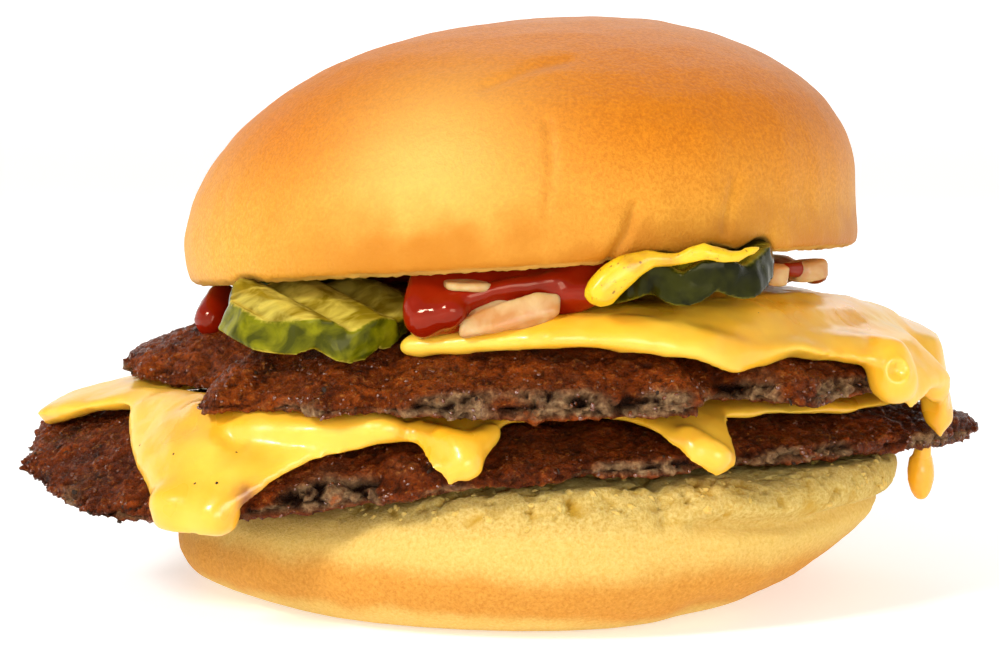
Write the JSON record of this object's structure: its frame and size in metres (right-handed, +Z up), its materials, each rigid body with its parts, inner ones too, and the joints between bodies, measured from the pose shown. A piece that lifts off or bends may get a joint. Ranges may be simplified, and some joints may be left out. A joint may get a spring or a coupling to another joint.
{
  "type": "double cheeseburger",
  "caption": "Double cheeseburger: soft bun, ragged smashed patties, melted cheese slices, crinkle-cut pickle chips, onion, ketchup and mustard.",
  "frame": {"origin": "middle of the heel's flat underside, on the table", "axes": "+Z up through the layers, +X to the burger's right along its widest reach, -Y to its front"},
  "size_m": [0.1391, 0.111, 0.0818],
  "materials": {
    "bun_crown": "soft satin crust",
    "bun_heel": "matte crumb and crust",
    "patty_lower": "seared, moist",
    "patty_upper": "seared, moist",
    "cheese_lower": "melted, semi-gloss",
    "cheese_upper": "melted, semi-gloss",
    "cheese_drop": "melted, semi-gloss",
    "pickle_left": "wet",
    "pickle_left_back": "wet",
    "pickle_right": "wet",
    "onion_front": "wet, translucent",
    "onion_top": "wet, translucent",
    "onion_right": "wet, translucent",
    "onion_right_end": "wet, translucent",
    "onion_back": "wet, translucent",
    "ketchup": "wet gloss",
    "mustard": "semi-gloss"
  },
  "bodies": {
    "root": {"bun_crown": "bun_crown", "bun_heel": "bun_heel", "patty_lower": "patty_lower", "patty_upper": "patty_upper", "cheese_lower": "cheese_lower", "cheese_upper": "cheese_upper", "cheese_drop": "cheese_drop", "pickle_left": "pickle_left", "pickle_left_back": "pickle_left_back", "pickle_right": "pickle_right", "onion_front": "onion_front", "onion_top": "onion_top", "onion_right": "onion_right", "onion_right_end": "onion_right_end", "onion_back": "onion_back", "ketchup": "ketchup", "mustard": "mustard"}
  },
  "joints": []
}
